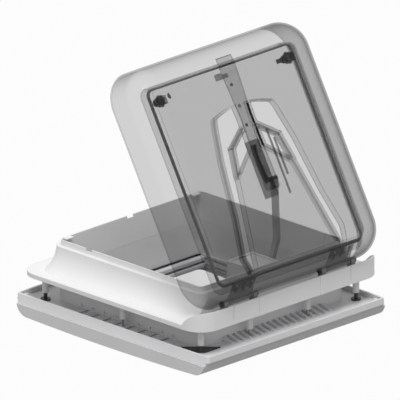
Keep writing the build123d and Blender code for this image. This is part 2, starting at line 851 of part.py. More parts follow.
def guide_rail():
    """Rail under the inner pane with the slightly curved slot that the arm's roller follows."""
    body = block(rail_x, (hinge_y + rail_u[0], hinge_y + rail_u[1]),
                 (hinge_z + rail_low, hinge_z + pane_low - fit_gap))
    path = guide_path()
    half = guide_roller_r + slot_clear
    upper, lower = [], []
    for index, (y, z) in enumerate(path):
        before, after = path[max(index - 1, 0)], path[min(index + 1, len(path) - 1)]
        run = math.hypot(after[0] - before[0], after[1] - before[1])
        across = (-(after[1] - before[1]) / run * half, (after[0] - before[0]) / run * half)
        upper.append((y + across[0], z + across[1]))
        lower.append((y - across[0], z - across[1]))
    start = rail_x[1] - rail_slot_depth
    slot = prism_x(upper + lower[::-1], start, rail_x[1] + overrun)
    for y, z in (path[0], path[-1]):
        slot += cross_rod(start, rail_x[1] + overrun, y, z, half)
    return body - slot


def lift_arm():
    """Cranked arm that lifts the dome, drawn for the open dome."""
    tip = open_place(arm_tip_u, arm_tip_n, open_angle)
    pivot = (arm_pivot_y, arm_pivot_z)
    bend = (arm_pivot_y + arm_bend[0], arm_pivot_z + arm_bend[1])
    arm = None
    for start, end in ((pivot, bend), (bend, tip)):
        run = math.hypot(end[0] - start[0], end[1] - start[1])
        across = (-(end[1] - start[1]) / run * arm_half_depth, (end[0] - start[0]) / run * arm_half_depth)
        corners = [(start[0] + across[0], start[1] + across[1]), (end[0] + across[0], end[1] + across[1]),
                   (end[0] - across[0], end[1] - across[1]), (start[0] - across[0], start[1] - across[1])]
        piece = prism_x(corners, *arm_x)
        arm = piece if arm is None else arm + piece
        arm += cross_rod(*arm_x, *end, arm_half_depth)
    arm += cross_rod(*arm_x, *pivot, arm_shaft_r + housing_wall)
    arm -= cross_rod(arm_x[0] - overrun, arm_x[1] + overrun, *pivot, arm_shaft_r)
    arm -= cross_rod(arm_x[0] - overrun, arm_x[1] + overrun, *tip, guide_pin_r)
    return arm


def guide_pin():
    """Pin through the arm's tip that carries the roller."""
    tip = open_place(arm_tip_u, arm_tip_n, open_angle)
    return cross_rod(rail_x[1] - rail_slot_depth + moving_gap, arm_x[1] + moving_gap, *tip, guide_pin_r)


def guide_roller():
    """Nylon roller in the rail's slot."""
    tip = open_place(arm_tip_u, arm_tip_n, open_angle)
    start, end = rail_x[1] - rail_slot_depth + moving_gap, rail_x[1] + moving_gap
    roller = cross_rod(start, end, *tip, guide_roller_r)
    return roller - cross_rod(start - overrun, end + overrun, *tip, guide_pin_r + running_clear)


def arm_shaft():
    """Shaft that joins the worm wheel and the arm."""
    start = housing_x[0] + housing_wall + moving_gap
    return cross_rod(start, arm_x[1] + fit_gap, arm_pivot_y, arm_pivot_z, arm_shaft_r)


def tooth(pitch_r, half_thick, outward):
    """Outline of one straight-sided tooth, as radius and half thickness pairs."""
    lean = math.tan(math.radians(tooth_flank))
    tip, root = pitch_r + outward * tooth_tip, pitch_r - outward * tooth_root
    return [(root, half_thick + tooth_root * lean), (tip, half_thick - tooth_tip * lean)]


def worm_wheel():
    """Worm wheel on the arm shaft, with a tooth gap facing the worm."""
    pitch_r = gear_module * gear_teeth / 2
    half = thread_pitch / 4 - tooth_backlash
    (root, wide), (tip, slim) = tooth(pitch_r, half, 1)
    low, high = wheel_x - wheel_width / 2, wheel_x + wheel_width / 2
    wheel = cross_rod(low, high, 0, 0, root + tooth_tip / 4)
    for index in range(gear_teeth):
        outline = [(root, -wide), (tip, -slim), (tip, slim), (root, wide)]
        one = prism_x(outline, low, high)
        wheel += Rot((index + 1 / 2) * 360 / gear_teeth, 0, 0) * one
    wheel = Pos(0, arm_pivot_y, arm_pivot_z) * wheel
    wheel += cross_rod(low - housing_wall, high + housing_wall, arm_pivot_y, arm_pivot_z,
                       arm_shaft_r + housing_wall)
    return wheel - cross_rod(low - 2 * housing_wall, high + 2 * housing_wall, arm_pivot_y, arm_pivot_z,
                             arm_shaft_r)


def worm():
    """Upright worm shaft with its thread, running down to the crank."""
    shaft_low, shaft_high = crank_hub_z[0], housing_top - moving_gap
    (root, wide), (tip, slim) = tooth(worm_pitch_r, thread_pitch / 4 - tooth_backlash, 1)
    shaft = rod(wheel_x, worm_y, shaft_low, shaft_high, worm_shaft_r)
    core_low, core_high = arm_pivot_z - worm_half_length - thread_pitch / 2, arm_pivot_z + worm_half_length
    core = rod(wheel_x, worm_y, core_low, core_high, root)
    turns = int(2 * (worm_half_length - thread_pitch / 2) / thread_pitch)
    start_z = arm_pivot_z - (turns / 2) * thread_pitch + thread_pitch / 4
    if turns % 2:
        start_z -= thread_pitch / 2
    helix = Pos(wheel_x, worm_y, start_z) * Helix(thread_pitch, turns * thread_pitch, worm_pitch_r)
    origin = helix @ 0
    bite = tooth_root / 4
    outline = [(root - bite, -wide), (tip, -slim), (tip, slim), (root - bite, wide)]
    section = make_face(Polyline(*[(wheel_x + r, origin.Y, origin.Z + h) for r, h in outline], close=True))
    thread = sweep(section, path=helix, is_frenet=True)
    return shaft + core + thread


def gear_housing():
    """Gear housing on the hinge-side wall of the opening."""
    back = -open_half + fit_gap
    ys = (back, housing_inner_y)
    body = block(housing_x, ys, (housing_low, housing_top))
    wall = housing_wall
    body -= block((housing_x[0] + wall, housing_x[1] - wall), (ys[0] + wall, ys[1] - wall),
                  (housing_low + wall, housing_top + overrun))
    body -= cross_rod(housing_x[1] - wall - overrun, housing_x[1] + overrun, arm_pivot_y, arm_pivot_z,
                      arm_shaft_r + bush_wall)
    body -= rod(wheel_x, worm_y, housing_low - overrun, housing_low + wall + overrun,
                worm_shaft_r + bush_wall)
    edges = body.edges().filter_by(Axis.Z).filter_by(lambda e: abs(e.center().Y - ys[1]) < wall / 3)
    return fillet(edges, wall)


def gear_cover():
    """Lid of the gear housing with a raised border."""
    back = -open_half + fit_gap
    low = housing_top + fit_gap / 4
    cover = block(housing_x, (back, housing_inner_y), (low, low + cover_thick))
    upright = cover.edges().filter_by(Axis.Z)
    edges = upright.filter_by(lambda e: abs(e.center().Y - housing_inner_y) < fit_gap)
    cover = fillet(edges, housing_wall)
    cover -= block((housing_x[0] + cover_border, housing_x[1] - cover_border),
                   (back + cover_border, housing_inner_y - cover_border),
                   (low + cover_thick - cover_recess, low + cover_thick + overrun))
    return cover


def shaft_bush():
    """Bush for the arm shaft in the housing's wall."""
    xs = (housing_x[1] - housing_wall, housing_x[1])
    outer = cross_rod(*xs, arm_pivot_y, arm_pivot_z, arm_shaft_r + bush_wall)
    return outer - cross_rod(xs[0] - overrun, xs[1] + overrun, arm_pivot_y, arm_pivot_z,
                             arm_shaft_r + running_clear)


def worm_bush():
    """Bush for the worm shaft in the housing's floor."""
    low, high = housing_low, housing_low + housing_wall
    outer = rod(wheel_x, worm_y, low, high, worm_shaft_r + bush_wall)
    return outer - rod(wheel_x, worm_y, low - overrun, high + overrun, worm_shaft_r + running_clear)


def crank_console():
    """Plate across the hinge side of the opening that carries the foot of the crank."""
    half = open_half - fit_gap
    low, high = console_z
    body = block((-half, half), console_y, console_z)
    rear = body.edges().filter_by(Axis.Z).filter_by(lambda e: e.center().Y < console_y[0] + moving_gap)
    body = fillet(rear, opening_corner_r)
    front = console_y[1]
    body += block((-half, half), (front - housing_wall, front), (low - housing_wall, high))
    body += rod(wheel_x, worm_y, low, high + housing_wall, worm_shaft_r + 2 * bush_wall)
    body -= rod(wheel_x, worm_y, low - overrun, high + 2 * housing_wall, worm_shaft_r + running_clear)
    return body


def crank():
    """Crank on the foot of the worm shaft."""
    body = rod(wheel_x, worm_y, *crank_hub_z, crank_hub_r)
    end_x = wheel_x + crank_length
    low, high = crank_arm_z
    half = crank_arm_width / 2
    body += block((wheel_x, end_x), (worm_y - half, worm_y + half), crank_arm_z)
    body += rod(end_x, worm_y, low, high, half)
    body -= rod(wheel_x, worm_y, crank_hub_z[0] - overrun, crank_hub_z[1] + overrun, worm_shaft_r)
    return body + rod(end_x, worm_y, knob_z[0] + fit_gap, low + overrun / 2, knob_pin_r)


def crank_knob():
    """Loose knob on the crank's pin."""
    x = wheel_x + crank_length
    knob = rod(x, worm_y, *knob_z, knob_r)
    rims = knob.edges().filter_by(GeomType.CIRCLE)
    knob = fillet(rims, knob_pin_r / 2)
    return knob - rod(x, worm_y, knob_z[0] - overrun, knob_z[1] + overrun, knob_pin_r + running_clear)


def housing_screws():
    """Screws that hold the gear housing to the frame's wall."""
    screws = []
    xs = (housing_x[0] + 3 * housing_wall, housing_x[1] - 3 * housing_wall)
    face = -open_half + fit_gap + housing_wall
    for x in xs:
        for z in (housing_low + 3 * housing_wall, housing_top - 3 * housing_wall):
            place = Pos(x, face + screw_head / 2, z)
            screws.append(place * Rot(90, 0, 0) * Cylinder(screw_head_r, screw_head))
    return screws


def side_rail(side):
    """Dark side rail with a groove for the flyscreen and one for the blind."""
    xs = sorted((side * side_rail_x[0], side * side_rail_x[1]))
    body = block(xs, side_rail_y, side_rail_z)
    grooves = sorted((side * (side_rail_x[0] - overrun), side * (side_rail_x[0] + rail_groove_depth)))
    for level in (screen_level, blind_level):
        body -= block(grooves, (side_rail_y[0] + rail_groove, side_rail_y[1] + overrun),
                      (level - rail_groove / 2, level + rail_groove / 2))
    return body


def pull_bar(level):
    """Pull bar of a blind, with tongues in the side rails and a grip."""
    half = side_rail_x[0] - moving_gap
    body = block((-half, half), bar_y, (level - bar_height / 2, level + bar_height / 2))
    body = fillet(body.edges().filter_by(Axis.X), bar_height / 4)
    reach = half + bar_tongue
    height = bar_tongue_height / 2
    body += block((-reach, reach), (bar_y[0] + bar_tongue / 2, bar_y[1] - bar_tongue / 2),
                  (level - height, level + height))
    length, width, depth = pull_grip
    front = bar_y[0]
    body += block((-length / 2, length / 2), (front - depth, front + depth),
                  (level - width / 2, level + width / 2))
    return body


def roller(y):
    """Spring roller with its cloth wound on, and its end pins."""
    body = cross_rod(-roller_half, roller_half, y, roller_z, roller_r)
    reach = roller_half + bracket_thick + moving_gap
    return body + cross_rod(-reach, reach, y, roller_z, roller_pin_r)


def leading_cloth(y, level):
    """The short stretch of cloth between a roller and its parked pull bar."""
    half = side_rail_x[0] - moving_gap - bar_tongue
    middle = roller_z + roller_r if level > roller_z else roller_z - roller_r
    middle += cloth_thick if level > roller_z else -cloth_thick
    zs = (middle - cloth_thick / 2, middle + cloth_thick / 2)
    return block((-half, half), (bar_y[1] + fit_gap / 4, y), zs)


def roller_brackets():
    """End plates under the tray that carry both rollers."""
    plates = []
    low, high = roller_z - roller_r - bracket_foot, floor_low - fit_gap
    for side in (-1, 1):
        start = side * (roller_half + moving_gap)
        xs = sorted((start, start + side * bracket_thick))
        body = block(xs, (screen_roller_y - roller_r, blind_roller_y + roller_r), (low, high))
        for y in (screen_roller_y, blind_roller_y):
            body -= cross_rod(xs[0] - overrun, xs[1] + overrun, y, roller_z, roller_pin_r + running_clear)
        plates.append(body)
    return plates


def catch_places():
    """Where the two corner catches stand along X."""
    return {"left": -catch_at, "right": catch_at}


def catch_mount(x):
    """Foot of a corner catch under the inner pane."""
    width, depth, height = catch_base
    y = hinge_y + catch_u
    top = hinge_z + pane_low - fit_gap
    body = block((x - width / 2, x + width / 2), (y - depth / 2, y + depth / 2), (top - height, top))
    lever_top = hinge_z + catch_level + catch_lever[2]
    body += rod(x, y, lever_top + moving_gap, top, catch_post_r)
    return body + rod(x, y, hinge_z + catch_level - moving_gap, top, catch_pin_r)


def catch_turn_lever(x):
    """Turning lever of a corner catch."""
    length, width, height = catch_lever
    y = hinge_y + catch_u
    top = hinge_z + catch_level + height
    side = -1 if x > 0 else 1
    body = rod(x, y, top - height, top, catch_boss_r)
    xs = sorted((x, x + side * length))
    body += block(xs, (y - width / 2, y + width / 2), (top - height, top))
    return body - rod(x, y, top - height - overrun, top + overrun, catch_pin_r + running_clear)


def centre_catch_block():
    """Fixed centre catch under the inner pane, with its nose towards the frame's notch."""
    width, depth, height = centre_catch
    y = hinge_y + centre_catch_u - depth
    top = hinge_z + pane_low - fit_gap
    body = block((-width / 2, width / 2), (y - depth / 2, y + depth / 2), (top - height, top))
    return body + block((-width / 2, width / 2), (y, y + depth / 2 + centre_catch_nose),
                        (top - height, top - height + centre_catch_nose))


def opened(shape):
    """Turn a piece of the closed dome to the open position."""
    pieces = shape if isinstance(shape, list) else [shape]
    return [piece.rotate(hinge_axis, open_angle) for piece in pieces]


def save(name, shape):
    """Write one node, as one solid or as a group of separate solids."""
    pieces = shape if isinstance(shape, list) else [shape]
    solids = [solid for piece in pieces for solid in piece.solids()]
    export_step(solids[0] if len(solids) == 1 else Compound(children=solids), f"parts/{name}.step")


def build():
    """Write every node of the vent."""
    save("outer_frame", outer_frame())
    save("roof_seal", roof_seal())
    save("side_clip", side_clip())
    save("inner_frame", inner_frame())
    save("corner_plates", corner_plates())
    save("clamp_screws", clamp_screws())
    save("ceiling_trim", ceiling_trim())
    save("dome_outer", opened(dome_outer()))
    save("dome_inner", opened(dome_inner()))
    save("dome_seal", opened(dome_seal()))
    save("dome_stiffener", opened(dome_stiffener()))
    for side, x in hinge_places().items():
        save(f"hinge_pin_{side}", hinge_pin(x))
        save(f"hinge_base_{side}", hinge_base(x))
        save(f"hinge_leaf_{side}", opened(hinge_leaf(x)))
    save("leaf_screws", opened(leaf_screws()))
    save("guide_rail", opened(guide_rail()))
    save("lift_arm", lift_arm())
    save("guide_pin", guide_pin())
    save("guide_roller", guide_roller())
    save("arm_shaft", arm_shaft())
    save("worm_wheel", worm_wheel())
    save("worm", worm())
    save("gear_housing", gear_housing())
    save("gear_cover", gear_cover())
    save("shaft_bush", shaft_bush())
    save("worm_bush", worm_bush())
    save("housing_screws", housing_screws())
    save("crank_console", crank_console())
    save("crank", crank())
    save("crank_knob", crank_knob())
    for side, sign in (("left", -1), ("right", 1)):
        save(f"side_rail_{side}", side_rail(sign))
    save("screen_bar", pull_bar(screen_level))
    save("blind_bar", pull_bar(blind_level))
    save("screen_roller", roller(screen_roller_y))
    save("blind_roller", roller(blind_roller_y))
    save("screen_cloth", leading_cloth(screen_roller_y, screen_level))
    save("blind_cloth", leading_cloth(blind_roller_y, blind_level))
    save("roller_brackets", roller_brackets())
    for side, x in catch_places().items():
        save(f"catch_foot_{side}", opened(catch_mount(x)))
        save(f"catch_lever_{side}", opened(catch_turn_lever(x)))
    save("centre_catch", opened(centre_catch_block()))


build()
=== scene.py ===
"""Looks of the caravan roof vent: finishes, light, camera, and the pieces that the CAD leaves out.

Metres, in the CAD's own frame: X along the hinge line, +Y towards the side that opens, +Z up.
"""

import json
import math

import bpy
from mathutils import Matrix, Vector


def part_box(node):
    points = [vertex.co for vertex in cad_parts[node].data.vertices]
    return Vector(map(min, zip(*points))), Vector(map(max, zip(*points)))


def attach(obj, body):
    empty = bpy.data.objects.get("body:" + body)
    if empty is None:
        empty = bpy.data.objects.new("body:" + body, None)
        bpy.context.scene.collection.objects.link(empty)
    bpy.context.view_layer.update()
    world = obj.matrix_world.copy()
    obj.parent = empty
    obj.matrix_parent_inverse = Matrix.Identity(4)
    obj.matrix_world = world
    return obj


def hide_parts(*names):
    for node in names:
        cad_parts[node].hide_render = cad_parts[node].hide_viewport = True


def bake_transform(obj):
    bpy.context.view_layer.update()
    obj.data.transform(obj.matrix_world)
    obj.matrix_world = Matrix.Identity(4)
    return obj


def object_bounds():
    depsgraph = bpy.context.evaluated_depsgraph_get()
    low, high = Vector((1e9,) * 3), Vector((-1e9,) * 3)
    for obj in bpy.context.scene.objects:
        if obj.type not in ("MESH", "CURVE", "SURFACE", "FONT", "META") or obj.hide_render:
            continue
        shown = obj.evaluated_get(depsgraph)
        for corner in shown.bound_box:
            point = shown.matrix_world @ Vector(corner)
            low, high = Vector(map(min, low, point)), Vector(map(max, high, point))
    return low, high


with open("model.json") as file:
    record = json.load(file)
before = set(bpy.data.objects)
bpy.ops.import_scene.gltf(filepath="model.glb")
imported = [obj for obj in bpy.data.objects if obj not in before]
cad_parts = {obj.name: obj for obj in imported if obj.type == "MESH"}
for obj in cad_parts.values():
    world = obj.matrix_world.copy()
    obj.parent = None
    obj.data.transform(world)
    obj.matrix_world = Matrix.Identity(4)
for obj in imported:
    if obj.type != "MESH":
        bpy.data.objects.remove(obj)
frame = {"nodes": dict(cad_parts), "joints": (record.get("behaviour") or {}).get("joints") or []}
cad_low, cad_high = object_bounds()
nodes = frame["nodes"]
mm = 0.001

# The photograph's view: a distant camera to the left of the hinge side, a little above
photo_azimuth = -45.0
photo_elevation = 20.0
photo_width = 706.4 * mm
photo_pixels = 400
look_at = Vector((0.0, 0.0, 137.7 * mm))
look_shift = (0.75, 0.0)
camera_distance = 3.0

# The dome's own frame, as the CAD draws it: u along it from the hinge axis, n above that axis
hinge = next(joint for joint in frame["joints"] if joint["name"] == "dome_hinge")
hinge_point = Vector(hinge["pos_m"])
open_angle = math.radians(60)
dome_along = Vector((0, math.cos(open_angle), math.sin(open_angle)))
dome_up = Vector((0, -math.sin(open_angle), math.cos(open_angle)))
dome_level = hinge_point.dot(dome_up)

# Light: a broad lamp from above on the camera's side, and an even sky
key_level = 2.0
key_direction = (-0.33, -0.33, 0.88)
key_spread = 25
sky_level = 0.55

# A paper floor, in metres, that glows white where the camera sees it straight
floor_paper = 0.22
floor_size = 12
floor_drop = 1 * mm
floor_glow = 0.97

# Small pieces, in millimetres: places on the dome are across it, along it and above the hinge axis.
# A rim, dish, groove or recess is an inset and then a rise; a round is the radius of the edges.
# A face points up or down, or sideways, from these cosines on.
face_turn = 0.9
side_turn = 0.1
smooth_angle = math.radians(35)
round_segments = 2
cloth_cuts = 15
roll_turns = 2.0
roll_hollow = 1.0
roll_pin = 4.5
roll_pin_r = 2.5
roll_sides = 64
roll_round = 0.3
screw_head_r = 3.2
screw_head_h = 1.6
screw_rim = (0.9, 0.4)
screw_recess = (1.0, -1.0)
screw_round = 0.25
spine_under = 50.85
spine_screws = [(-4, 284), (-4, 320), (-4, 360)]
catch_x = {"left": -159, "right": 159}
catch_u = 373.7
catch_cap_n = 32.0
cap_r = 9.5
cap_h = 4.5
cap_sides = 16
cap_notch = 2.0
cap_dish = (1.5, -1.2)
cap_round = 0.5
key_size = (9.0, 9.0, 3.0)
key_rim = (1.5, 1.2)
key_recess = (1.2, -1.0)
key_round = 0.6
key_out = {"left": 20, "right": 11}
key_ahead = 4
key_n = 36.9
hinge_x = 122
clip_r = 5.6
clip_h = 3.0
clip_sides = 24
clip_dish = (1.6, -0.8)
clip_round = 0.4
# The pane's wall, which carries the moving hinge halves, leans by this run and rise
pane_run = 20.6
pane_rise = 25.6
rib_size = (3.0, 20.0, 3.2)
rib_inset = 0.8
rib_taper = 0.8
rib_round = 0.4
rib_spread = (-18.0, 0.0, 18.0)
rib_place = (17.1, 24.4)
strip_n = 37.1
strip_h = 2.4
strip_groove = (1.1, -1.2)
strip_round = 0.5
# Each strip's middle across and along the dome, its length and its width
strips = {"dome_strip_1": (48, 207, 122, 4.0), "dome_strip_2": (58, 214, 70, 4.0)}

# Sizes of the patterns in the finishes
cloud_size = 60 * mm
# How far the painted shade in the creases of moulded plastic reaches
crease_shade_reach = 6 * mm
soft_corner = 0.9 * mm
ripple_size = 90 * mm
ripple_depth = 0.4 * mm
edge_line = 1.3 * mm
tool_line = 1.5 * mm
tool_depth = 0.05 * mm
# A wave texture repeats 20 times in 2 pi units at a scale of 1
wave_period = 2 * math.pi / 20

# Strengths of the patterns: how far the roughness swings, and how strong each bump is
rough_swing = 0.06
grain_strength = 0.25
ripple_strength = 0.06
tool_strength = 0.2
thread_strength = 0.5
# An edge line starts and is full at these cosines between the rounded and the true surface
line_start = 0.99
line_full = 0.86
# A face counts as level with the dome from this cosine between its direction and the dome's own
level_share = 0.995
# How much of a mesh's open square the threads' edges cover, and how fast they fade into it
open_cover = 0.15
thread_fade = 0.1


def on_dome(x, u, n):
    """A place on the open dome, from millimetres across it, along it and above the hinge axis."""
    start = Vector((x * mm, hinge_point.y, hinge_point.z))
    return start + dome_along * (u * mm) + dome_up * (n * mm)


def linear(code):
    """An sRGB hex colour as linear red, green, blue and alpha."""
    parts = [int(code[i:i + 2], 16) / 255 for i in (0, 2, 4)]
    curved = [p / 12.92 if p <= 0.04045 else ((p + 0.055) / 1.055) ** 2.4 for p in parts]
    return (*curved, 1.0)


def add(tree, kind, settings=None, inputs=None):
    """Add a node, set its options, and give its inputs values or links from other nodes."""
    made = tree.nodes.new(kind)
    for name, value in (settings or {}).items():
        setattr(made, name, value)
    for name, value in (inputs or {}).items():
        socket = made.inputs[name]
        if isinstance(value, bpy.types.NodeSocket):
            tree.links.new(value, socket)
        else:
            socket.default_value = value
    return made


def calculate(tree, operation, *values, kind="ShaderNodeMath"):
    """One step of arithmetic, on numbers or on what other nodes give."""
    return add(tree, kind, {"operation": operation}, dict(enumerate(values))).outputs["Value"]


def between(tree, dark, light, factor):
    """A colour between two others. The Mix node's colour sockets go by number: names repeat."""
    made = add(tree, "ShaderNodeMix", {"data_type": "RGBA"}, {"Factor": factor})
    made.inputs[6].default_value = linear(dark)
    made.inputs[7].default_value = linear(light)
    return made.outputs[2]


def new_material(name):
    """A node material with nothing in it yet, and its tree."""
    made = bpy.data.materials.new(name)
    made.use_nodes = True
    made.node_tree.nodes.clear()
    return made, made.node_tree


def moulded(name, light, dark, roughness, grain, depth, painted_crease_shade, cover=1.0):
    """Injection-moulded plastic: faint clouding in the colour, eroded grain and soft corners, with
    painted shade darkening its creases and corners.
    """
    made, tree = new_material(name)
    place = add(tree, "ShaderNodeTexCoord").outputs["Object"]
    cloud = add(tree, "ShaderNodeTexNoise", inputs={
        "Vector": place, "Scale": 1 / cloud_size, "Detail": 3.0})
    colour = between(tree, dark, light, cloud.outputs["Fac"])
    # Painted shade: ambient occlusion darkens the colour in creases, corners and between parts, by
    # the given share
    shade_in_creases = add(tree, "ShaderNodeAmbientOcclusion", {"samples": 8}, {"Distance": crease_shade_reach})
    shade = add(tree, "ShaderNodeMix", {"data_type": "RGBA", "blend_type": "MULTIPLY"},
                {"Factor": painted_crease_shade})
    tree.links.new(colour, shade.inputs[6])
    tree.links.new(shade_in_creases.outputs["AO"], shade.inputs[7])
    speck = add(tree, "ShaderNodeTexNoise", inputs={
        "Vector": place, "Scale": 1 / (grain * mm), "Detail": 2.0}).outputs["Fac"]
    rough = add(tree, "ShaderNodeMapRange", inputs={
        "Value": speck, "To Min": roughness - rough_swing, "To Max": roughness + rough_swing})
    corner = add(tree, "ShaderNodeBevel", {"samples": 4}, {"Radius": soft_corner})
    bump = add(tree, "ShaderNodeBump", inputs={
        "Strength": grain_strength, "Distance": depth * mm, "Height": speck,
        "Normal": corner.outputs["Normal"]})
    skin = add(tree, "ShaderNodeBsdfPrincipled", inputs={
        "Base Color": shade.outputs[2], "Roughness": rough.outputs["Result"],
        "Normal": bump.outputs["Normal"], "IOR": 1.5, "Alpha": cover})
    add(tree, "ShaderNodeOutputMaterial", inputs={"Surface": skin.outputs["BSDF"]})
    return made


def acrylic(name, tint, face, edge, power, line, clear=None):
    """Smoked acrylic sheet: clear face on, darker where the eye looks along it, with dark edges."""
    made, tree = new_material(name)
    texture = add(tree, "ShaderNodeTexCoord")
    place, own_normal = texture.outputs["Object"], texture.outputs["Normal"]
    ripple = add(tree, "ShaderNodeTexNoise", inputs={
        "Vector": place, "Scale": 1 / ripple_size, "Detail": 1.0})
    bump = add(tree, "ShaderNodeBump", inputs={
        "Strength": ripple_strength, "Distance": ripple_depth, "Height": ripple.outputs["Fac"]})
    weight = add(tree, "ShaderNodeLayerWeight", inputs={"Blend": 0.5})
    steep = calculate(tree, "POWER", weight.outputs["Facing"], power)
    # A thin dark line runs along every sharp edge, where the light is caught inside the sheet
    corner = add(tree, "ShaderNodeBevel", {"samples": 6}, {"Radius": edge_line})
    solid = add(tree, "ShaderNodeNewGeometry")
    turn = calculate(tree, "DOT_PRODUCT", corner.outputs["Normal"], solid.outputs["Normal"],
                     kind="ShaderNodeVectorMath")
    sharp = add(tree, "ShaderNodeMapRange", inputs={
        "Value": turn, "From Min": line_start, "From Max": line_full,
        "To Min": 0.0, "To Max": line})
    haze = face
    if clear:
        # The recess floor is drawn thinner, and nearly all the light goes through it
        low, high, least = clear
        depth = calculate(tree, "DOT_PRODUCT", place, dome_up, kind="ShaderNodeVectorMath")
        near = calculate(tree, "COMPARE", depth, dome_level + (low + high) / 2, (high - low) / 2)
        level = calculate(tree, "DOT_PRODUCT", own_normal, dome_up, kind="ShaderNodeVectorMath")
        even = calculate(tree, "GREATER_THAN", calculate(tree, "ABSOLUTE", level), level_share)
        window = calculate(tree, "MULTIPLY", near, even)
        thin = add(tree, "ShaderNodeMapRange", inputs={
            "Value": window, "To Min": face, "To Max": least})
        haze = thin.outputs["Result"]
    alpha = add(tree, "ShaderNodeMapRange", inputs={"Value": steep, "To Min": haze, "To Max": edge})
    total = calculate(tree, "MAXIMUM", alpha.outputs["Result"], sharp.outputs["Result"])
    skin = add(tree, "ShaderNodeBsdfPrincipled", inputs={
        "Base Color": linear(tint), "Roughness": 0.06, "IOR": 1.49, "Specular IOR Level": 0.15,
        "Normal": bump.outputs["Normal"], "Alpha": total})
    add(tree, "ShaderNodeOutputMaterial", inputs={"Surface": skin.outputs["BSDF"]})
    return made


def metal(name, light, dark, roughness, spread):
    """Turned or drawn metal with fine lines from the tool."""
    made, tree = new_material(name)
    place = add(tree, "ShaderNodeTexCoord").outputs["Object"]
    stretch = add(tree, "ShaderNodeMapping", inputs={"Vector": place, "Scale": spread})
    lines = add(tree, "ShaderNodeTexNoise", inputs={
        "Vector": stretch.outputs["Vector"], "Scale": 1 / tool_line, "Detail": 3.0})
    bump = add(tree, "ShaderNodeBump", inputs={
        "Strength": tool_strength, "Distance": tool_depth, "Height": lines.outputs["Fac"]})
    skin = add(tree, "ShaderNodeBsdfPrincipled", inputs={
        "Base Color": between(tree, dark, light, lines.outputs["Fac"]), "Metallic": 1.0,
        "Roughness": roughness, "Normal": bump.outputs["Normal"]})
    add(tree, "ShaderNodeOutputMaterial", inputs={"Surface": skin.outputs["BSDF"]})
    return made


def woven(name, light, dark, thread, hole, roughness):
    """Woven cloth: two sets of crossing threads, with open squares between them in a mesh."""
    made, tree = new_material(name)
    place = add(tree, "ShaderNodeTexCoord").outputs["Object"]
    ridges = []
    for direction in ("X", "Y"):
        ridge = add(tree, "ShaderNodeTexWave", {"wave_type": "BANDS", "bands_direction": direction},
                    {"Vector": place, "Scale": wave_period / (thread * mm), "Distortion": 0.4,
                     "Detail": 1.0, "Detail Scale": 0.3})
        ridges.append(ridge.outputs["Fac"])
    over = calculate(tree, "MAXIMUM", *ridges)
    bump = add(tree, "ShaderNodeBump", inputs={
        "Strength": thread_strength, "Distance": thread * mm / 4, "Height": over})
    cover = add(tree, "ShaderNodeMapRange", inputs={
        "Value": over, "From Min": hole, "From Max": hole + thread_fade,
        "To Min": 1.0 if hole == 0 else open_cover})
    # Painted shade: the cloth's colour goes from light on the threads' crests to dark in the
    # hollows between them
    skin = add(tree, "ShaderNodeBsdfPrincipled", inputs={
        "Base Color": between(tree, dark, light, over), "Roughness": roughness,
        "Normal": bump.outputs["Normal"], "Sheen Weight": 0.25, "Alpha": cover.outputs["Result"]})
    add(tree, "ShaderNodeOutputMaterial", inputs={"Surface": skin.outputs["BSDF"]})
    return made


# In each moulded finish the seventh value is its share of painted shade in the creases
# Moulded ABS, satin from a lightly textured mould: soft broad highlights, faintly clouded
white_abs = moulded("satin_white_moulded_ABS", "ECECEC", "E6E6E6", 0.38, 1.5, 0.05, 0.12)
# The same plastic in a cooler, slightly darker tint, so that the tray reads apart from the frame
grey_abs = moulded("light_grey_moulded_ABS", "E6E6E7", "DFDFE0", 0.42, 1.5, 0.06, 0.1)
# Indoor trim plastic with a duller face, which stays mid grey under the tray
trim_abs = moulded("mid_grey_moulded_ABS", "DCDCDD", "D4D4D5", 0.45, 1.5, 0.06, 0.0)
# Glass-filled nylon: dull black with the pale fibre bloom of the mould
black_nylon = moulded("black_glass_filled_nylon", "3C3C3C", "262626", 0.5, 1.2, 0.08, 0.4)
# Polypropylene: a waxy mid to dark grey with a soft shine
dark_pp = moulded("dark_grey_moulded_polypropylene", "8C8C8D", "7E7E7F", 0.5, 1.2, 0.08, 0.2)
# Acetal of the lifting gear: pale, satin and partly see-through, and dark under the smoked sheets.
# Its pale colour is partly painted light, made lighter to make up for the light that the smoked
# sheets hold back from it
gear_pom = moulded("grey_moulded_acetal", "D6D6D7", "C8C8C9", 0.4, 1.2, 0.05, 0.2, cover=0.52)
# Tinted polyamide of the hinges: grey, and faintly see-through where it is thin
hinge_pa = moulded(
    "grey_tinted_moulded_polyamide", "8A8A8B", "787879", 0.35, 1.2, 0.05, 0.4, cover=0.42)
# The catches' knobs are of the same polyamide, thicker, so that less light comes through
catch_pa = moulded(
    "thick_grey_tinted_polyamide", "8A8A8B", "787879", 0.35, 1.2, 0.05, 0.4, cover=0.7)
# Undyed nylon for running parts: creamy, smooth and slightly shiny
white_nylon = moulded("natural_moulded_nylon", "E6E2D8", "DAD6CA", 0.4, 1.0, 0.04, 0.3)
# Silicone rubber: pale and dull by itself, and an even dark line under the smoked sheets
silicone = moulded("smoke_grey_silicone_rubber", "B4B4B4", "A6A6A6", 0.6, 0.9, 0.06, 0.2)
# Closed-cell foam: dead matt, with cells about a millimetre across
foam = moulded("grey_closed_cell_foam", "46474A", "2E2F31", 0.9, 1.0, 0.4, 0.4)
# Coated polyester: pale and close, with threads at 1.2 mm, coarser than real so that they show
blind_weave = woven("coated_polyester_blind_cloth", "DDDCD8", "C9C8C3", 1.2, 0.0, 0.8)
# Glass-fibre flyscreen: dark threads at 1.5 mm with open squares between them
screen_weave = woven("woven_glass_fibre_flyscreen", "4A4B4D", "2A2B2D", 1.5, 0.35, 0.7)
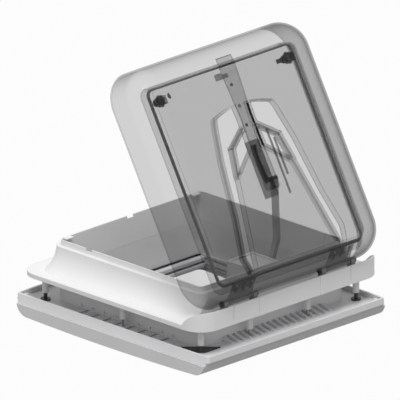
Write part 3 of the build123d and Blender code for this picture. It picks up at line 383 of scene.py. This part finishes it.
# Cast acrylic, smoke-tinted and polished: clear face on, nearly black along its edges
smoked = acrylic(
    "smoked_cast_acrylic", "2A2A2B", 0.185, 0.98, 3.4, 0.9, clear=(40.4 * mm, 45.0 * mm, 0.03))
# The same sheet, formed thinner for the inner pane
pane = acrylic("light_smoked_vacuum_formed_acrylic", "2A2A2B", 0.16, 0.9, 3.4, 0.6)
# Bright zinc on steel wire and screws: cool, with lines along the drawing direction
steel = metal("zinc_plated_drawn_steel", "B9BABC", "8E9092", 0.35, (0.1, 1.0, 1.0))
# Turned brass bushes: warm, with rings from the lathe
brass = metal("turned_brass", "C9A45C", "A98745", 0.3, (1.0, 0.2, 1.0))

finishes = {
    "outer_frame": white_abs, "side_clip": white_abs, "roof_seal": foam, "inner_frame": grey_abs,
    "corner_plates": black_nylon, "clamp_screws": steel, "ceiling_trim": trim_abs,
    "dome_outer": smoked, "dome_inner": pane, "dome_seal": silicone, "dome_stiffener": smoked,
    "guide_rail": gear_pom, "lift_arm": gear_pom, "guide_pin": steel, "guide_roller": white_nylon,
    "arm_shaft": steel, "worm_wheel": white_nylon, "worm": steel,
    "gear_housing": grey_abs, "gear_cover": grey_abs, "shaft_bush": brass, "worm_bush": brass,
    "housing_screws": steel, "leaf_screws": steel, "crank_console": grey_abs, "crank": dark_pp,
    "crank_knob": black_nylon, "screen_bar": trim_abs, "blind_bar": trim_abs,
    "screen_roller": screen_weave, "blind_roller": blind_weave, "screen_cloth": screen_weave,
    "blind_cloth": blind_weave, "roller_brackets": dark_pp, "centre_catch": hinge_pa,
}
for side in ("left", "right"):
    finishes.update({
        f"hinge_pin_{side}": steel, f"hinge_base_{side}": dark_pp, f"hinge_leaf_{side}": hinge_pa,
        # The side rails take the pale trim plastic: painted light, a colour lighter than their own
        # dark grey that makes up for the deep shade between the trim and the neck
        f"side_rail_{side}": trim_abs, f"catch_foot_{side}": hinge_pa,
        f"catch_lever_{side}": dark_pp})
# The two drawn cloths, each with its weave and its slot
weaves = (("screen", screen_weave, "screen_mesh"), ("blind", blind_weave, "blind_cloth"))


def finish_nodes():
    """Give every CAD node its own finish."""
    for name, thing in nodes.items():
        thing.data.materials.clear()
        thing.data.materials.append(finishes[name])


def alone():
    """Clear the selection, so that the next operator acts on its own piece only."""
    bpy.ops.object.select_all(action="DESELECT")


def started(name):
    """Name the primitive just added, and put its place and size into its mesh."""
    piece = bpy.context.active_object
    piece.name = name
    bpy.ops.object.transform_apply(location=True, rotation=True, scale=True)
    return piece


def bar(name, size):
    """A block at the origin, to be shaped and then placed."""
    alone()
    bpy.ops.mesh.primitive_cube_add(size=1, scale=[length * mm for length in size])
    return started(name)


def disc(name, r, height, sides=32):
    """An upright round blank at the origin, to be shaped and then placed."""
    alone()
    bpy.ops.mesh.primitive_cylinder_add(vertices=sides, radius=r * mm, depth=height * mm)
    return started(name)


def pick(piece, test):
    """Enter edit mode with only the faces that pass a test."""
    bpy.ops.object.mode_set(mode="EDIT")
    bpy.ops.mesh.select_mode(type="FACE")
    bpy.ops.mesh.select_all(action="DESELECT")
    bpy.ops.object.mode_set(mode="OBJECT")
    for face in piece.data.polygons:
        face.select = test(face)
    bpy.ops.object.mode_set(mode="EDIT")


def step(inset, rise):
    """Inset the picked faces, then carry them out or in."""
    bpy.ops.mesh.inset(thickness=inset * mm)
    bpy.ops.mesh.extrude_region_shrink_fatten(TRANSFORM_OT_shrink_fatten={"value": rise * mm})


def rounded(piece, width):
    """Round every sharp edge of a finished block, and shade it smooth."""
    bpy.ops.object.mode_set(mode="OBJECT")
    soften = piece.modifiers.new("edges", "BEVEL")
    soften.width = width * mm
    soften.segments = round_segments
    soften.limit_method = "ANGLE"
    bpy.ops.object.modifier_apply(modifier=soften.name)
    bpy.ops.object.shade_smooth_by_angle(angle=smooth_angle)


def placed(piece, where, turn, body, material):
    """Put a piece at its place, in its own mesh, and fix it to a body."""
    alone()
    piece.select_set(True)
    bpy.context.view_layer.objects.active = piece
    piece.location = where
    piece.rotation_euler = turn
    bpy.ops.object.transform_apply(location=True, rotation=True, scale=True)
    piece.data.materials.append(material)
    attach(piece, body)


def copied(piece, name):
    """Another of the same piece, with its own mesh."""
    twin = piece.copy()
    twin.data = piece.data.copy()
    twin.name = name
    bpy.context.scene.collection.objects.link(twin)
    return twin


def cloths():
    """The two drawn cloths, each stretched from its roller to its pull bar."""
    for name, weave, slot in weaves:
        low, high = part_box(f"{name}_cloth")
        middle, size = (low + high) / 2, high - low
        alone()
        bpy.ops.mesh.primitive_plane_add(size=1, location=middle)
        bpy.context.active_object.scale = (size.x, size.y, 1)
        piece = started(f"{name}_sheet")
        bpy.ops.object.mode_set(mode="EDIT")
        bpy.ops.mesh.subdivide(number_cuts=cloth_cuts)
        bpy.ops.object.mode_set(mode="OBJECT")
        thick = piece.modifiers.new("cloth", "SOLIDIFY")
        thick.thickness = size.z
        thick.offset = 0
        bpy.ops.object.modifier_apply(modifier=thick.name)
        piece.data.materials.append(weave)
        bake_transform(piece)
        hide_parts(f"{name}_cloth")


def rolls():
    """Spring rollers with the cloth wound on: the turns stand round a hollow end with its pin."""
    for name, weave, slot in weaves:
        low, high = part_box(f"{name}_roller")
        middle, size = (low + high) / 2, high - low
        length = size.x / mm - 2 * roll_pin
        roll_r = size.z / mm / 2
        piece = disc(f"{name}_roll", roll_r, length, roll_sides)
        pick(piece, lambda face: abs(face.normal.z) > face_turn)
        step(roll_turns, -roll_hollow)
        step(roll_r - roll_turns - roll_pin_r, roll_pin + roll_hollow)
        rounded(piece, roll_round)
        placed(piece, middle, (0, math.pi / 2, 0), f"{name}_roll", weave)
        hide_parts(f"{name}_roller")


def dome_screws():
    """Round-headed screws that hold the stiffener under the dome's spine."""
    first = disc("spine_screw_1", screw_head_r, screw_head_h)
    pick(first, lambda face: face.normal.z < -face_turn)
    step(*screw_rim)
    step(*screw_recess)
    rounded(first, screw_round)
    twins = [first] + [copied(first, f"spine_screw_{index}") for index in (2, 3)]
    for piece, (x, u) in zip(twins, spine_screws):
        placed(piece, on_dome(x, u, spine_under - screw_head_h / 2), (open_angle, 0, 0), "dome",
               steel)


def catch_caps():
    """Knobs with eight finger notches on the catches' feet, and the small keys beside them."""
    cap = disc("catch_cap_left", cap_r, cap_h, cap_sides)
    pick(cap, lambda face: abs(face.normal.z) < side_turn and int(round(math.degrees(
        math.atan2(face.center.y, face.center.x)) / (360 / cap_sides) - 0.5)) % 2 == 0)
    bpy.ops.mesh.extrude_faces_move(TRANSFORM_OT_shrink_fatten={"value": cap_notch * mm})
    pick(cap, lambda face: abs(face.normal.z) > face_turn)
    step(*cap_dish)
    rounded(cap, cap_round)
    key = bar("catch_key_left", key_size)
    pick(key, lambda face: face.normal.z < -face_turn)
    step(*key_rim)
    step(*key_recess)
    rounded(key, key_round)
    caps = {"left": (cap, key),
            "right": (copied(cap, "catch_cap_right"), copied(key, "catch_key_right"))}
    for side, (knob, plate) in caps.items():
        x = catch_x[side]
        placed(knob, on_dome(x, catch_u, catch_cap_n), (open_angle, 0, 0), "dome",
               catch_pa)
        placed(plate, on_dome(x + key_out[side], catch_u + key_ahead, key_n),
               (open_angle, 0, math.pi / 4), "dome", catch_pa)


def hinge_parts():
    """Clips on the ends of the hinge pins, and ribs that stiffen the moving halves."""
    clip = disc("hinge_clip_1", clip_r, clip_h, clip_sides)
    pick(clip, lambda face: abs(face.normal.z) > face_turn)
    step(*clip_dish)
    rounded(clip, clip_round)
    rib = bar("hinge_rib_1", rib_size)
    pick(rib, lambda face: face.normal.z > face_turn)
    bpy.ops.mesh.inset(thickness=rib_inset * mm)
    bpy.ops.transform.resize(value=(1, rib_taper, 1))
    rounded(rib, rib_round)
    clips = [clip] + [copied(clip, f"hinge_clip_{index}") for index in range(2, 5)]
    ribs = [rib] + [copied(rib, f"hinge_rib_{index}") for index in range(2, 7)]
    lean = math.atan2(pane_rise, pane_run)
    for side, sign in (("left", -1), ("right", 1)):
        low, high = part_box(f"hinge_pin_{side}")
        for end in (low.x - clip_h / 2 * mm, high.x + clip_h / 2 * mm):
            placed(clips.pop(0), (end, hinge_point.y, hinge_point.z), (0, math.pi / 2, 0), "frame",
                   black_nylon)
        for x in rib_spread:
            placed(ribs.pop(0), on_dome(sign * hinge_x + x, *rib_place),
                   (open_angle + lean, 0, 0), "dome", hinge_pa)


def dome_bars():
    """Two slim moulded strips under the pane, to the right of the guide rail."""
    for name, (x, u, length, width) in strips.items():
        piece = bar(name, (width, length, strip_h))
        pick(piece, lambda face: face.normal.z < -face_turn)
        step(*strip_groove)
        rounded(piece, strip_round)
        placed(piece, on_dome(x, u, strip_n), (open_angle, 0, 0), "dome", hinge_pa)


def studio():
    """White studio: a pale floor, one broad soft key light from above, and an even sky."""
    alone()
    bpy.ops.mesh.primitive_plane_add(size=floor_size, location=(0, 0, cad_low.z - floor_drop))
    floor = bpy.context.active_object
    floor.name = "studio_floor"
    made, tree = new_material("white_paper_floor")
    glow = add(tree, "ShaderNodeEmission", inputs={"Color": (1, 1, 1, 1), "Strength": 1.0})
    paper = add(tree, "ShaderNodeBsdfDiffuse", inputs={
        "Color": (floor_paper, floor_paper, floor_paper, 1)})
    both = add(tree, "ShaderNodeMixShader", inputs={
        0: calculate(tree, "MULTIPLY", seen_directly(tree), floor_glow)})
    tree.links.new(paper.outputs["BSDF"], both.inputs[1])
    tree.links.new(glow.outputs["Emission"], both.inputs[2])
    add(tree, "ShaderNodeOutputMaterial", inputs={"Surface": both.outputs["Shader"]})
    floor.data.materials.append(made)

    world = bpy.data.worlds.new("studio_white")
    world.use_nodes = True
    tree = world.node_tree
    tree.nodes.clear()
    strength = add(tree, "ShaderNodeMapRange", inputs={
        "Value": seen_directly(tree), "To Min": sky_level, "To Max": 1.0})
    sky = add(tree, "ShaderNodeBackground", inputs={
        "Color": (1, 1, 1, 1), "Strength": strength.outputs["Result"]})
    add(tree, "ShaderNodeOutputWorld", inputs={"Surface": sky.outputs["Background"]})
    bpy.context.scene.world = world

    key = bpy.data.lights.new("key_light", "SUN")
    key.energy = key_level
    key.angle = math.radians(key_spread)
    lamp = bpy.data.objects.new("key_light", key)
    lamp.rotation_mode = "QUATERNION"
    lamp.rotation_quaternion = Vector(key_direction).to_track_quat("Z", "Y")
    bpy.context.scene.collection.objects.link(lamp)


def seen_directly(tree):
    """One for what is seen straight, mirrored or through glass, and none for other light."""
    path = add(tree, "ShaderNodeLightPath")
    straight = calculate(
        tree, "MAXIMUM", path.outputs["Is Camera Ray"], path.outputs["Is Glossy Ray"])
    return calculate(tree, "MAXIMUM", straight, path.outputs["Is Transmission Ray"])


def camera():
    """The photograph's own view, with parallel edges kept parallel."""
    data = bpy.data.cameras.new("photo_view")
    data.type = "ORTHO"
    data.ortho_scale = photo_width
    thing = bpy.data.objects.new("photo_view", data)
    azimuth, elevation = math.radians(photo_azimuth), math.radians(photo_elevation)
    back = Vector((math.sin(azimuth) * math.cos(elevation),
                   -math.cos(azimuth) * math.cos(elevation), math.sin(elevation)))
    turn = back.to_track_quat("Z", "Y")
    pixel = photo_width / photo_pixels
    right, up = turn @ Vector((1, 0, 0)), turn @ Vector((0, 1, 0))
    centre = look_at - right * look_shift[0] * pixel + up * look_shift[1] * pixel
    thing.rotation_mode = "QUATERNION"
    thing.rotation_quaternion = turn
    thing.location = centre + back * camera_distance
    bpy.context.scene.collection.objects.link(thing)
    bpy.context.scene.camera = thing


bpy.context.scene.view_settings.view_transform = "Standard"
camera()
studio()
finish_nodes()
rolls()
cloths()
dome_screws()
catch_caps()
hinge_parts()
dome_bars()
